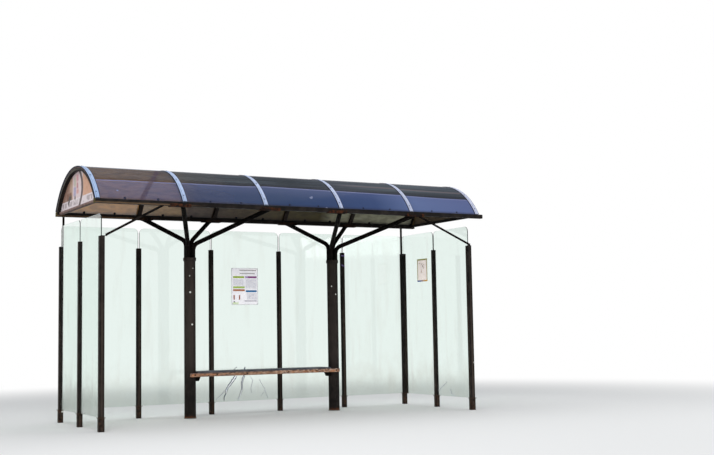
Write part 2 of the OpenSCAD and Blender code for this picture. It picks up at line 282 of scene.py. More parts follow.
def sweep(bm, path, radius, sides=8, closed=True, ripple=0.0):
    """A round bead along a path, with a rippled surface as a weld has."""
    path = [Vector(p) for p in path]
    count = len(path)
    rings = []
    for i, spot in enumerate(path):
        ahead = path[(i + 1) % count] if closed or i + 1 < count else spot
        behind = path[i - 1] if closed or i else spot
        along = (ahead - behind).normalized()
        upright = Vector((0, 0, 1)) if abs(along.z) < 0.9 else Vector((1, 0, 0))
        side = along.cross(upright).normalized()
        up = side.cross(along)
        r = radius * (1 + ripple * (math.sin(i * 1.9) + chance.uniform(-0.5, 0.5)))
        rings.append([
            bm.verts.new(spot + (side * math.cos(t) + up * math.sin(t)) * r)
            for t in (2 * math.pi * k / sides for k in range(sides))
        ])
    skin(bm, rings, closed)


def ring(x, y, z, radius, steps=72):
    """Points round an upright axis."""
    turns = [2 * math.pi * i / steps for i in range(steps)]
    return [(x + radius * math.cos(t), y + radius * math.sin(t), z) for t in turns]


COLUMN_FLECKS = (
    ((-0.990, 0.276, 1.817), 0.006), ((-1.031, 0.278, 1.725), 0.007),
    ((-1.025, 0.276, 1.526), 0.013), ((-1.002, 0.273, 1.133), 0.012),
    ((0.934, 0.287, 1.606), 0.009), ((0.987, 0.274, 1.502), 0.009),
)
f = weathered_paint("column_paint", shade(24, 22, 22), shade(32, 28, 27), foot=0.05)
# Painted highlight: the side facing front and left is lightened, more higher up, and less on the
# right column.
painted_highlight = f.rise(f.faces((-0.5, -0.87, 0)), 0.25, 0.98) * f.rise(f.z, 0.35, 0.75)
painted_highlight = painted_highlight * (0.7 + f.rise(f.grain(1, 4, (30, 30, 2.2), shift=6), 0.35, 0.65) * 0.3)
painted_highlight = painted_highlight * (1 - f.rise(f.x, 0.0, 0.1) * 0.45)
f.paint = f.mix(painted_highlight * 0.85, f.paint, shade(66, 58, 54))
dress(["left_column", "right_column"], close_paint(f, COLUMN_FLECKS), 0.0015)

weld_paint = close_paint(
    weathered_paint("weld_paint", shade(30, 26, 24), shade(48, 40, 35), rust=0.9))
bm = bmesh.new()
for x in COLUMN_X:
    sweep(bm, ring(x, COLUMN_Y, COLLAR_LOW, COLUMN_R + 0.001), COLLAR_WELD_R, ripple=0.12)
    sweep(bm, ring(x, COLUMN_Y, COLUMN_TOP, COLUMN_R - 0.002, 60), PLATE_WELD_R, ripple=0.12)
    for sx in (-1, 1):
        for sy in (-1, 1):
            foot = ring(x + sx * BRANCH_OFFSET, COLUMN_Y + sy * BRANCH_OFFSET,
                        COLUMN_TOP, BRANCH_R + 0.001, 40)
            sweep(bm, foot, WELD_R, ripple=0.15)
piece("column_welds", bm, weld_paint)

f = new_finish("foot_seal")
f.surface(
    f.mix(f.grain(90, 4), shade(92, 88, 82), shade(140, 134, 124)), 0.85,
    Normal=f.bump(f.grain(150, 4), 0.002),
)
bm = bmesh.new()
for x in COLUMN_X:
    sweep(bm, ring(x, COLUMN_Y, SEAL_Z, COLUMN_R + 0.003, 64), SEAL_R, ripple=0.1)
piece("column_foot_seals", bm, f.owner)


# Branches. Four bent tubes stand on each column's plate and reach out to the
# shoes under the eave beams, welded at both ends. The same brown-black paint,
# darkened all over as painted shade under the roof. In the pairs below, -1 is
# the front row, 1 the rear.
TIP_REACH = {-1: 0.512, 1: 0.420}
BEND_Z = {-1: 2.030, 1: 2.092}
BEND_R = 0.100
TIP_Y = {-1: 0.782, 1: 0.775}
WELD_Y = 0.807
SHOE_Z = 2.438
BRANCHES = [f"{side}_branch_{row}_{way}" for side in ("left", "right")
            for row in ("front", "rear") for way in ("outer", "inner")]

f = weathered_paint(
    "branch_paint", shade(10, 9, 9), shade(24, 21, 20), fade=(2.45, 1.9), rust=0.4, specular=0.01)
# Painted shade: the paint is darkened towards black all over for the shade under the roof.
f.paint = f.mix(0.45, f.paint, shade(8, 8, 8))
branch_paint = close_paint(f)
dress(BRANCHES, branch_paint)


def branch_tip(side, along, row):
    """Middle of a branch's cut end under the shoe, its heading and its lean from upright."""
    column = COLUMN_X[0 if side < 0 else 1]
    base = Vector((column + along * BRANCH_OFFSET, COLUMN_Y + row * BRANCH_OFFSET))
    tip = Vector((side + along * TIP_REACH[row], row * TIP_Y[row]))
    way = tip - base
    run, rise = way.length - BEND_R, SHOE_Z - BEND_Z[row]
    lean = math.atan2(run, rise) + math.asin(BEND_R / math.hypot(run, rise))
    return tip, way.normalized(), lean


bm = bmesh.new()
for side in (-1, 1):
    for along in (-1, 1):
        for row in (-1, 1):
            tip, way, lean = branch_tip(side, along, row)
            across = Vector((-way.y, way.x))
            loop = []
            for i in range(56):
                t = 2 * math.pi * i / 56
                p = tip + way * (BRANCH_R / math.cos(lean) * math.cos(t))
                p += across * (BRANCH_R * math.sin(t))
                loop.append((p.x, max(-WELD_Y, min(WELD_Y, p.y)), SHOE_Z - 0.0015))
            sweep(bm, loop, WELD_R, ripple=0.15)
piece("branch_welds", bm, weld_paint)


# Shoes. Folded steel channels clamp each branch to its eave beam, bolted
# through both flanges. Their paint has failed, and orange-brown rust shows at
# the front and darker rust at the rear.
SHOE_REACH = {-1: 0.555, 1: 0.455}
SHOE_Y = 0.782
SHOE_HALF = 0.035
SHOE_BOLT, SHOE_BOLT_STEP, SHOE_BOLT_RISE = 0.010, 0.085, 0.021


def rusted_steel(name, dark, bright, amount):
    """Bare rust over the given share of the surface, old dark paint on the rest."""
    f = new_finish(name)
    scale = f.rise(f.grain(42, 6, rough=0.65), 0.36, 0.66)
    pits = f.rise(f.grain(240, 4, rough=0.7), 0.42, 0.62)
    left_paint = f.rise(f.grain(16, 5, shift=2), amount + 0.06, amount - 0.04)
    rust = f.mix(scale * 0.75 + pits * 0.25, dark, bright)
    base = f.mix(left_paint, shade(24, 20, 19), rust)
    f.surface(
        base, 0.62 + pits * 0.25, Normal=f.bump(scale * 0.5 + pits * 0.5, 0.0015, 0.8),
        Specular_IOR_Level=0.06,
    )
    return f.owner


front_rust = rusted_steel("front_shoe_rust", shade(38, 22, 15), shade(86, 48, 28), 0.50)
rear_rust = rusted_steel("rear_shoe_rust", shade(24, 18, 16), shade(52, 34, 25), 0.55)
dress("front_beam_shoes", front_rust, 0.001)
dress("rear_beam_shoes", rear_rust, 0.001)


def turned(bm, spot, axis, profile, sides):
    """A solid turned about an axis from (radius, height) pairs, such as a bolt's head."""
    spot = Vector(spot)
    turn = Vector(axis).to_track_quat("Z", "Y").to_matrix()
    rings = []
    for radius, height in profile:
        centre = spot + turn @ Vector((0, 0, height))
        if radius:
            rings.append([
                bm.verts.new(centre + turn @ Vector((math.cos(t), math.sin(t), 0)) * radius)
                for t in (2 * math.pi * k / sides for k in range(sides))
            ])
        else:
            rings.append([bm.verts.new(centre)])
    for a, b in zip(rings, rings[1:]):
        for k in range(sides):
            corners = [a[k % len(a)], a[(k + 1) % len(a)], b[(k + 1) % len(b)], b[k % len(b)]]
            corners = list(dict.fromkeys(corners))
            if len(corners) > 2:
                bm.faces.new(corners)


def hex_bolt(bm, spot, axis, size):
    """A washer and a hexagon head, standing on a face. size is the thread's diameter."""
    washer, head, tall = size * 1.05, size * 0.92, size * 0.65
    thick = size * 0.18
    turned(bm, spot, axis, [(0, -0.0005), (washer, -0.0005), (washer, thick * 0.8),
                            (washer * 0.95, thick), (0, thick)], 20)
    lift = Vector(spot) + Vector(axis).normalized() * (thick - 0.0002)
    turned(bm, lift, axis, [(0, 0), (head, 0), (head, tall * 0.82),
                            (head * 0.8, tall), (0, tall)], 6)


bm = bmesh.new()
for side in (-1, 1):
    for along in (-1, 1):
        for row, reach in SHOE_REACH.items():
            for step in (-SHOE_BOLT_STEP, SHOE_BOLT_STEP):
                for way in (-1, 1):
                    hex_bolt(bm, (side + along * reach + step, row * SHOE_Y + way * SHOE_HALF,
                                  SHOE_Z + SHOE_BOLT_RISE), (0, way, 0), SHOE_BOLT)
piece("shoe_bolts", bm, rear_rust)


# Eave beams. Two rolled box sections run the whole length and carry ribs,
# sheets and shoes. Near black under the roof, worn brown along the front one's
# lower edge at the left, with a rusty plate welded over each end.
BEAM_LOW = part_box("front_eave_beam")[0].z
f = weathered_paint(
    "beam_paint", shade(16, 15, 15), shade(26, 22, 21), fade=(2.5, 2.43), rust=0.6)
lip = f.rise(f.z + (f.grain(24, 4) - 0.5) * 0.012, BEAM_LOW + 0.022, BEAM_LOW + 0.014)
lip = lip * f.rise(f.faces((0, -1, 0)), 0.5, 0.8) * f.rise(f.x, -1.2, -1.7)
f.paint = f.mix(lip * 0.6, f.paint, shade(112, 90, 68))
beam_paint = close_paint(f)
dress(["front_eave_beam", "rear_eave_beam"], beam_paint)
dress("beam_end_caps", rusted_steel("beam_cap_rust", shade(52, 46, 24), shade(104, 92, 50), 0.7),
      0.001)


# Arched ribs. Six box tubes rolled to the vault's radius and welded down onto
# the beams. Brown-black paint, with a painted pinkish reflection of the ground
# along the outer edge of the end ribs, and a lighter grey band on their end
# faces that grows towards the rear.
VAULT_Z = 1.9933
BAY = 1.0
ROOF_HALF = 2.5
RIB_X = [i * BAY - ROOF_HALF for i in range(6)]
END_FACE_X, END_EDGE_X = 2.51, 2.52


def from_axis(f):
    """Distance from the line that the vault is rolled about."""
    return (f.y * f.y + (f.z - VAULT_Z) * (f.z - VAULT_Z)) ** 0.5


f = weathered_paint(
    "rib_paint", shade(22, 20, 20), shade(36, 30, 28), fade=(2.95, 2.5), rust=0.5)
span = from_axis(f)
# Painted reflection: a thin pinkish line of reflected ground along the outer edge of the end
# ribs.
painted_reflection_edge = f.rise(span + (f.grain(20, 4) - 0.5) * 0.008, 0.930, 0.938)
painted_reflection_edge = painted_reflection_edge * (abs(f.x) > END_EDGE_X)
end_face = f.rise(abs(f.faces((1, 0, 0))), 0.8, 0.95) * (abs(f.x) > END_FACE_X)
# A lighter grey band across the end faces, growing towards the rear.
grey_end_band = f.band(span, 0.903, 0.930, 0.003) * end_face
grey_end_band = grey_end_band * (0.7 + f.rise(f.grain(16, 4), 0.35, 0.65) * 0.3)
f.paint = f.mix(grey_end_band * f.rise(f.y, -0.3, 0.1), f.paint, shade(84, 82, 72))
f.paint = f.mix(painted_reflection_edge * 0.9, f.paint, shade(132, 104, 98))
dress([f"arch_rib_{i}" for i in range(1, 7)], close_paint(f))


# Roof sheets. Five smoked plastic sheets, cold-curved over the ribs. Outside they
# are glossy and carry a painted reflection: blue-violet sky low down, dull
# grey-brown with lengthwise streaks above a sharp reflected horizon, a painted
# highlight along the crown and the painted shadow of a rear rib across the first
# bay. From below they are painted brown for the daylight that shines through them.
SHEET_IN, SHEET_OUT = 0.942, 0.950
SHEET_END = 2.55
EDGE_FROM_RIB = 0.31
EDGE_Z = 2.515
EDGE_BOLT, EDGE_NUT = 0.009, 0.015
REFLECTION_LINE_LOW, REFLECTION_LINE_CLIMB = 2.69, 0.12

f = new_finish("smoked_sheet")
outside = from_axis(f) > (SHEET_IN + SHEET_OUT) / 2
along = (f.x + SHEET_END) / (2 * SHEET_END)
# Painted reflection: below this line the sheets carry the sky's blue-violet reflection and above
# it a dark grey-brown reflected building, with a dark band just above the line, a pale line just
# under it and a pale band higher up at the right.
reflection_line_z = REFLECTION_LINE_LOW + REFLECTION_LINE_CLIMB * f.ramp(
    along, (0.0, 0.30), (0.07, 0.36), (0.195, 0.36), (0.205, 0.40), (0.36, 0.38), (0.42, 0.50),
    (0.60, 0.40), (0.79, 0.30), (0.80, 0.25), (0.90, 0.14), (1.0, 0.12),
)
lower = f.ramp(
    along, (0.0, 78, 84, 114), (0.18, 72, 82, 116), (0.22, 46, 60, 94), (0.45, 44, 62, 97),
    (0.70, 52, 70, 111), (0.82, 90, 106, 148), (1.0, 86, 98, 142),
)
upper = f.ramp(
    along, (0.0, 78, 86, 98), (0.19, 74, 82, 94), (0.22, 74, 80, 86), (0.42, 60, 68, 76),
    (0.50, 50, 58, 66), (0.62, 78, 84, 94), (0.80, 80, 88, 96), (1.0, 72, 80, 90),
)
streaks = f.rise(f.grain(1, 4, (0.9, 30, 30), rough=0.55), 0.34, 0.68)
fine = f.rise(f.grain(420, 3), 0.55, 0.75)
# Painted highlight along the crown.
painted_crown_highlight = f.rise(f.z, 2.885, 2.935) * (0.6 + streaks * 0.4)
upper = f.mix(streaks * 0.5, upper, shade(34, 34, 38))
upper = f.mix(painted_crown_highlight, upper, shade(112, 110, 118))
upper = f.mix(f.rise(f.z, reflection_line_z + 0.062, reflection_line_z + 0.014) * 0.6, upper, shade(34, 34, 44))
ridge = f.band(f.z - reflection_line_z, 0.088, 0.108, 0.01) * f.rise(along, 0.60, 0.68)
upper = f.mix(ridge * 0.55, upper, shade(120, 108, 112))
painted_reflection_line = f.band(f.z - reflection_line_z, -0.013, -0.001, 0.002)
lower = f.mix(fine * 0.2, lower, shade(96, 98, 132))
lower = f.mix(f.rise(f.z, 2.60, reflection_line_z) * 0.25, lower, shade(80, 88, 132))
lower = f.mix(painted_reflection_line * 0.55, lower, shade(126, 130, 170))
lower = f.mix(f.rise(f.z, 2.53, 2.49) * 0.7, lower, shade(40, 40, 58))
outer = f.mix(f.rise(f.z, reflection_line_z - 0.0025, reflection_line_z + 0.0025), lower, upper)
# Painted shadow of the rear rib: a dark blue band slanting across the front of the first bay.
climb = f.z - 2.492
painted_rib_shadow = abs(f.x + 2.008 - climb * (0.62 + climb * 0.654))
painted_rib_shadow = f.rise(painted_rib_shadow, 0.036, 0.020) * f.rise(f.y, 0.0, -0.2)
outer = f.mix(painted_rib_shadow * 0.75, outer, shade(44, 48, 82))
for spot, radius in (
    ((0.30, -0.808, 2.493), 0.016), ((-2.255, -0.732, 2.598), 0.012),
    ((0.135, -0.713, 2.621), 0.020), ((0.155, -0.700, 2.635), 0.014),
):
    outer = f.mix(f.near(spot, radius, 0.6) * 0.45, outer, shade(160, 166, 198))
# Painted daylight: seen from below, the sheets are painted bright tan, brown and olive for the
# daylight shining through them, and darker under the front of the last bays.
inner = f.ramp(
    along, (0.0, 236, 172, 98), (0.19, 224, 162, 90), (0.22, 196, 164, 128),
    (0.31, 190, 158, 122), (0.33, 98, 84, 76), (0.70, 84, 76, 44), (0.74, 162, 160, 136),
    (1.0, 162, 160, 136),
)
last_front = f.rise(f.y, -0.2, -0.4) * f.rise(along, 0.72, 0.80)
inner = f.mix(last_front, inner, shade(124, 94, 66))
mottle = f.rise(f.grain(7, 5, (1, 2.5, 2.5)), 0.38, 0.64)
inner = f.mix(mottle * 0.35, inner, shade(52, 46, 42))
opaque = f.ramp(
    along, (0.0, 0.68), (0.20, 0.70), (0.25, 0.83), (0.45, 0.89), (0.60, 0.90), (0.80, 0.91),
    (1.0, 0.88),
)
low_gloss = f.rise(f.z, reflection_line_z + 0.002, reflection_line_z - 0.002)
f.surface(
    f.mix(outside, inner, outer), 0.5 + streaks * 0.12 + fine * 0.1, Alpha=opaque, IOR=1.49,
    Coat_Weight=outside * (0.08 + low_gloss * 0.16), Coat_Roughness=0.18,
    Normal=f.bump(f.grain(3, 2, (1, 3, 3)), 0.004, 0.3), Specular_IOR_Level=0.0,
)
dress([f"roof_sheet_{i}" for i in range(1, 6)], f.owner)

steel_dark = close_paint(
    weathered_paint("fastener_steel", shade(24, 24, 32), shade(48, 44, 48), rust=0.4))
bolt_y = math.sqrt(SHEET_OUT ** 2 - (EDGE_Z - VAULT_Z) ** 2)
bm = bmesh.new()
for left, right in zip(RIB_X, RIB_X[1:]):
    for x in (left + EDGE_FROM_RIB, right - EDGE_FROM_RIB):
        for row in (-1, 1):
            out = Vector((0, row * bolt_y, EDGE_Z - VAULT_Z)).normalized()
            hex_bolt(bm, Vector((x, 0, VAULT_Z)) + out * SHEET_OUT, out, EDGE_BOLT)
            hex_bolt(bm, Vector((x, 0, VAULT_Z)) + out * SHEET_IN, -out, EDGE_NUT)
piece("roof_edge_bolts", bm, steel_dark)


def block(bm, corner, opposite, bevel):
    """A block between two opposite corners, its edges broken by the bevel."""
    low, high = (Vector(p) for p in zip(*(sorted(pair) for pair in zip(corner, opposite))))
    made = bmesh.ops.create_cube(bm, size=1.0)["verts"]
    for v in made:
        v.co = Vector([(low[i] + high[i]) / 2 + v.co[i] * (high[i] - low[i]) for i in range(3)])
    edges = list(dict.fromkeys(e for v in made for e in v.link_edges))
    bmesh.ops.bevel(bm, geom=edges, offset=bevel, segments=2, profile=0.5, affect="EDGES")


# Cover strips. Extruded aluminium bars over the ribs clamp the sheets' edges,
# screwed down along their length, with a dark clip at each end. Bright mill
# finish, darker in the two grooves, with painted shade along both edges for
# the strip's flanks in shadow.
STRIP_OUT = 0.955
STRIP_HALF = 0.026
GASKET_HALF = 0.034
GASKET_END = math.radians(57.6)
SCREW_ANGLES = (12, 34, 52.5)
CLIP_HALF = 0.022
CLIP_Z = (2.4965, 2.5045)
STRIP_END_Z = 2.502

f = new_finish("strip_aluminium")
across = f.math("WRAP", f.x + BAY / 2, -BAY / 2, BAY / 2)
groove_mottle = f.rise(f.grain(26, 3, (1, 0.3, 0.3), shift=8), 0.3, 0.6) * 0.4 + 0.6
grooves = f.band(across, -0.0135, -0.0050, 0.0015) * groove_mottle
grooves = grooves + f.band(across, 0.0085, 0.0130, 0.001) * groove_mottle * 0.5
# Painted shade along both edges, where the strip's flanks fall into shadow.
edge = f.rise(abs(across), STRIP_HALF - 0.003, STRIP_HALF - 0.0005)
brush = f.grain(1, 4, (900, 14, 14))
chalk = f.rise(f.grain(20, 5, rough=0.6), 0.42, 0.7)
metal = f.ramp((f.x + ROOF_HALF) / (2 * ROOF_HALF),
               (0.0, 150, 172, 206), (0.5, 172, 184, 212), (1.0, 196, 200, 222))
metal = f.mix(chalk * 0.35, metal, shade(150, 158, 176))
metal = f.mix(grooves * 0.6, metal, shade(90, 104, 138))
metal = f.mix(edge * 0.9, metal, shade(28, 30, 44))
f.surface(
    metal, 0.42 + chalk * 0.2 + grooves * 0.2, Metallic=0.35, Specular_IOR_Level=0.1,
    Normal=f.bump(brush * 0.5 + chalk * 0.5, 0.0006, 0.5),
)
dress("cover_strips", f.owner, 0.0008)


def clouded(name, cloud, low, high, rough, relief, specular):
    """A dull finish between two close colours. cloud is a noise's scale, detail, start
    and end, and relief is a noise's scale and detail and the bump's depth and strength."""
    f = new_finish(name)
    tone = f.rise(f.grain(*cloud[:2]), *cloud[2:])
    f.surface(f.mix(tone, low, high), rough, Specular_IOR_Level=specular,
              Normal=f.bump(f.grain(*relief[:2]), *relief[2:]))
    return f.owner


bm = bmesh.new()
foot, head = SHEET_OUT - 0.0002, SHEET_OUT + 0.0016
for x in RIB_X:
    section = ((x - GASKET_HALF, foot), (x - GASKET_HALF + 0.0015, head),
               (x + GASKET_HALF - 0.0015, head), (x + GASKET_HALF, foot))
    skin(bm, [
        [bm.verts.new((px, r * math.sin(t), VAULT_Z + r * math.cos(t))) for px, r in section]
        for t in (GASKET_END * (k / 36 - 1) for k in range(73))
    ])
gasket = clouded("strip_gasket", (60, 4, 0.4, 0.7), shade(26, 26, 38), shade(46, 46, 60), 0.75,
                 (220, 3, 0.0006, 0.4), 0.05)
piece("strip_gaskets", bm, gasket)

SCREW = [(0, -0.0008), (0.0065, -0.0008), (0.0065, 0.0006), (0.0052, 0.0026), (0.0028, 0.0033),
         (0.0022, 0.0016), (0, 0.0016)]
screws, clips = bmesh.new(), bmesh.new()
for x in RIB_X:
    for row in (-1, 1):
        for angle in (math.radians(a) for a in SCREW_ANGLES):
            out = Vector((0, row * math.sin(angle), math.cos(angle)))
            turned(screws, Vector((x, 0, VAULT_Z)) + out * (STRIP_OUT - 0.0002), out, SCREW, 16)
        y = row * math.sqrt(STRIP_OUT ** 2 - (STRIP_END_Z - VAULT_Z) ** 2)
        block(clips, (x - CLIP_HALF, y - row * 0.02, CLIP_Z[0]),
              (x + CLIP_HALF, y + row * 0.0025, CLIP_Z[1]), 0.0012)
piece("strip_screws", screws, steel_dark)
piece("strip_end_clips", clips, steel_dark)


# Gables. A clear sheet fills each end arch above a square rail, held by a rubber
# bead under the rib. The left one is painted peach for the daylit rear sheet seen
# through it, with a weathered printed panel kept as plain colour bars and a
# painted shadow of its end rib as a dark bowed line; its rail carries painted
# sunlight along the top. The right one looks darker.
RIB_IN = 0.902
GABLE_X = 2.481
BEAD_LOW = 2.498

# Painted sunlight: the left rail is pale and pinkish towards its top where light falls, while the
# right rail keeps the dark beam paint.
dress("left_gable_rail", close_paint(weathered_paint(
    "gable_rail_paint_and_sunlight", shade(150, 122, 116), shade(74, 58, 50), fade=(2.485, 2.465), rust=0.3)))
dress("right_gable_rail", beam_paint)

f = new_finish("left_gable_sheet")
soft = (f.grain(9, 4) - 0.5) * 0.05
# Painted daylight: the peach and tan areas stand for the daylit underside of the rear sheet seen
# through the clear gable.
cast = f.mix(f.rise(f.y + soft, 0.19, 0.26), shade(246, 222, 224), shade(204, 168, 146))
cast = f.mix(f.rise(f.y + soft, 0.30, 0.40), cast, shade(168, 132, 116))
cast = f.mix(f.rise(f.y + soft, -0.17, -0.21), cast, shade(232, 176, 144))
for low, high, bottom, top, colour, weight in (
    (0.090, 0.178, 2.74, 2.84, shade(176, 186, 160), 0.6),
    (0.080, 0.110, 2.70, 2.87, shade(222, 190, 150), 0.5),
    (-0.010, 0.070, 2.78, 2.86, shade(222, 140, 148), 0.75),
    (0.000, 0.060, 2.70, 2.77, shade(206, 116, 120), 0.8),
    (-0.020, 0.070, 2.64, 2.69, shade(228, 150, 140), 0.75),
    (0.090, 0.187, 2.62, 2.73, shade(158, 156, 204), 0.7),
    (0.275, 0.470, 2.585, 2.68, shade(128, 78, 52), 0.9),
):
    patch = f.band(f.y + soft * 0.4, low, high, 0.012)
    patch = patch * f.band(f.z + soft * 0.3, bottom, top, 0.014)
    cast = f.mix(patch * weight, cast, colour)
band_top = 2.592 + soft * 0.1
cast = f.mix(f.rise(f.z, band_top + 0.004, band_top - 0.004), cast, shade(250, 236, 240))
blocks = f.rise(f.grain(1, 1, (1, 17, 9), shift=2), 0.50, 0.56)
blocks = blocks * f.band(f.z, 2.520, 2.575, 0.006)
cast = f.mix(blocks * 0.6, cast, shade(150, 132, 136))
for spot, radius in (
    ((-2.484, 0.37, 2.608), 0.045), ((-2.484, 0.30, 2.622), 0.035),
    ((-2.484, 0.403, 2.563), 0.030), ((-2.484, 0.128, 2.603), 0.028),
):
    cast = f.mix(f.near(spot, radius, 0.6) * 0.9, cast, shade(40, 28, 26))
# Painted shadow: a dark bowed line where the end rib's shadow falls on the rear sheet, seen
# through the clear gable.
bow = (f.z - 2.70) * (f.z - 2.70) * 2.9 - 0.166
cast = f.mix(f.band(f.y - bow, -0.036, 0.036, 0.007) * 0.95, cast, shade(60, 26, 22))
dirt = f.rise(f.grain(30, 5), 0.5, 0.74)
f.surface(f.mix(dirt * 0.15, cast, shade(120, 100, 84)), 0.3 + dirt * 0.3, Alpha=0.95,
          Normal=f.bump(dirt, 0.0008, 0.4), Specular_IOR_Level=0.1)
dress("left_gable_panel", f.owner)

f = new_finish("right_gable_sheet")
dirt = f.rise(f.grain(14, 5), 0.42, 0.7)
f.surface(f.mix(dirt * 0.6, shade(96, 78, 54), shade(56, 46, 34)), 0.3 + dirt * 0.3, Alpha=0.90,
          Normal=f.bump(dirt, 0.0008, 0.4), Specular_IOR_Level=0.05)
dress("right_gable_panel", f.owner)

rubber = clouded("black_rubber", (80, 4, 0.45, 0.7), shade(24, 24, 25), shade(58, 56, 54), 0.7,
                 (300, 2, 0.0006, 0.4), 0.25)
bm = bmesh.new()
r = RIB_IN - 0.0025
reach = math.acos((BEAD_LOW - VAULT_Z) / r)
for end in (-1, 1):
    for way in (-1, 1):
        x = end * GABLE_X + way * 0.0055
        arc = [(x, r * math.sin(t), VAULT_Z + r * math.cos(t))
               for t in (reach * (k / 32 - 1) for k in range(65))]
        sweep(bm, arc, 0.0035, 6, closed=False)
piece("gable_gaskets", bm, rubber)


# Posts. Ten extruded box posts with glazing slots, each welded to a ledge
# plate on a short tubular foot. Black-brown paint, with a dusty middle band on
# each face; the ledges and the feet below are rusty.
PANE_PITCH = 0.96
SCREEN_X = [-2.455 + PANE_PITCH * i for i in range(6)]
SCREEN_ENDS = (SCREEN_X[0], SCREEN_X[5])
SCREEN_Y = 0.812
POST_TOP = 2.087
LEDGE_Z, LEDGE_LOW = 0.152, 0.1455
POST_HALF, FRONT_POST_HALF = 0.025, 0.028
POSTS = ([(x, SCREEN_Y, POST_HALF) for x in SCREEN_X] + [(x, 0.0, POST_HALF) for x in SCREEN_ENDS]
         + [(x, -SCREEN_Y, FRONT_POST_HALF) for x in SCREEN_ENDS])


def from_post(f):
    """Distance from the middle of the nearest post, along X and along Y."""
    return (f.math("PINGPONG", f.x - SCREEN_X[0], PANE_PITCH / 2),
            f.math("PINGPONG", f.y, SCREEN_Y / 2))


f = weathered_paint(
    "post_paint", shade(16, 15, 15), shade(34, 29, 27), fade=(1.9, 0.3), rust=0.55)
off = from_post(f)
dusty = f.rise(f.math("MINIMUM", *off), 0.016, 0.007) * (0.25 + f.rise(f.z, 2.0, 0.9) * 0.75)
runs = f.rise(f.grain(1, 4, (60, 60, 2.0), shift=5), 0.3, 0.6)
f.paint = f.mix(dusty * (0.2 + runs * 0.3), f.paint, shade(80, 68, 60))
brown = f.mix(f.rise(f.grain(34, 5), 0.38, 0.66), shade(30, 24, 22), shade(72, 52, 40))
scab = f.rise(f.grain(24, 5, shift=9), 0.40, 0.60)
low = f.rise(f.z, LEDGE_Z + 0.010, LEDGE_Z + 0.004)
f.paint = f.mix(low * (0.25 + scab * 0.75), f.paint, brown)
on_ledge = f.band(f.z, LEDGE_LOW, LEDGE_Z + 0.0015, 0.0008)
on_ledge = on_ledge * (f.math("MAXIMUM", *off) > FRONT_POST_HALF + 0.0015)
f.paint = f.mix(on_ledge * 0.7, f.paint, shade(84, 66, 54))
post_paint = close_paint(f, (((-2.44, 0.785, 0.13), 0.012), ((2.36, -0.842, 0.60), 0.006)))
dress(["rear_left_corner_post", "rear_right_corner_post", "rear_middle_posts",
       "side_middle_posts", "front_posts"], post_paint, 0.0008)

CORNERS = ((-1, -1), (1, -1), (1, 1), (-1, 1))
bm = bmesh.new()
for x, y, half in POSTS:
    for z, out in ((LEDGE_Z + 0.0005, half), (LEDGE_LOW, half + 0.003)):
        loop = [(x + (ax + (bx - ax) * t / 8) * out, y + (ay + (by - ay) * t / 8) * out, z)
                for (ax, ay), (bx, by) in zip(CORNERS, CORNERS[1:] + CORNERS[:1])
                for t in range(8)]
        sweep(bm, loop, 0.003, 6, ripple=0.15)
piece("ledge_welds", bm, rear_rust)


# Glass. Nine toughened panes stand on the ledges in the posts' slots, with
# black rubber strips pushed in on both faces. Clear with a green cast, dark
# green at the cut edges and dusty towards the foot.
PANE_HALF = 0.005
STRIP_WIDE, STRIP_THICK = 0.008, 0.003


def toughened_glass(name, across):
    """Glass whose broad faces look along the axis across, 0 for X or 1 for Y."""
    f = new_finish(name)
    cut = f.rise(abs(f.faces(((1, 0, 0), (0, 1, 0))[across])), 0.75, 0.45)
    arris = f.rise(from_post(f)[1 - across], 0.0125, 0.0105)
    edge = f.math("MAXIMUM", cut, arris * f.rise(f.z, POST_TOP - 0.01, POST_TOP))
    dust = f.rise(f.z + (f.grain(5, 5) - 0.5) * 0.7, 0.75, 0.10) * 0.8
    smear = f.rise(f.grain(1, 5, (9, 9, 1.4)), 0.50, 0.74)
    haze = dust * 0.5 + smear * 0.16
    body = f.surface(
        f.mix(haze, shade(232, 243, 238), shade(206, 208, 198)), 0.03 + haze * 0.35,
        Normal=f.bump(f.grain(2.2, 2), 0.002, 0.12), Transmission_Weight=1.0, IOR=1.45,
        Specular_IOR_Level=0.5,
    )
    clear = f.node("BsdfTransparent", sockets={"Color": shade(236, 244, 240)})
    shadow = f.node("LightPath", out="Is Shadow Ray")
    pane = f.node("MixShader", sockets={0: shadow, 1: body, 2: clear})
    dark = f.surface(shade(20, 34, 30), 0.35, Specular_IOR_Level=0.2)
    whole = f.node("MixShader", sockets={0: edge, 1: pane, 2: dark})
    f.links.new(whole.socket, f.end.inputs["Surface"])
    return f.owner


dress([f"rear_glass_{i}" for i in range(1, 6)], toughened_glass("rear_glass", 1))
dress([f"{side}_glass_{row}" for side in ("left", "right") for row in ("rear", "front")],
      toughened_glass("side_glass", 0))

bm = bmesh.new()
low, high = LEDGE_Z + 0.003, POST_TOP - 0.002
for left, right in zip(SCREEN_X, SCREEN_X[1:]):
    for x, way in ((left + POST_HALF, 1), (right - POST_HALF, -1)):
        for face in (-1, 1):
            y = SCREEN_Y + face * PANE_HALF
            block(bm, (x, y, low), (x + way * STRIP_WIDE, y + face * STRIP_THICK, high), 0.0008)
for end in SCREEN_ENDS:
    for y, way in ((FRONT_POST_HALF - SCREEN_Y, 1), (-POST_HALF, -1), (POST_HALF, 1),
                   (SCREEN_Y - POST_HALF, -1)):
        for face in (-1, 1):
            x = end + face * PANE_HALF
            block(bm, (x, y, low), (x + face * STRIP_THICK, y + way * STRIP_WIDE, high), 0.0008)
piece("glazing_strips", bm, rubber)


# Cracks. The third rear pane is broken low down, and the right front pane is
# chipped at its foot. Each crack goes right through the glass, white where it
# crushed and dark where it only opened; the crushed white glows a little as
# painted light.
CRACK_STEP = 0.012

f = new_finish("broken_glass")
crushed = f.rise(f.grain(130, 3), 0.44, 0.56)
white = f.mix(crushed, shade(196, 204, 212), shade(248, 250, 250))
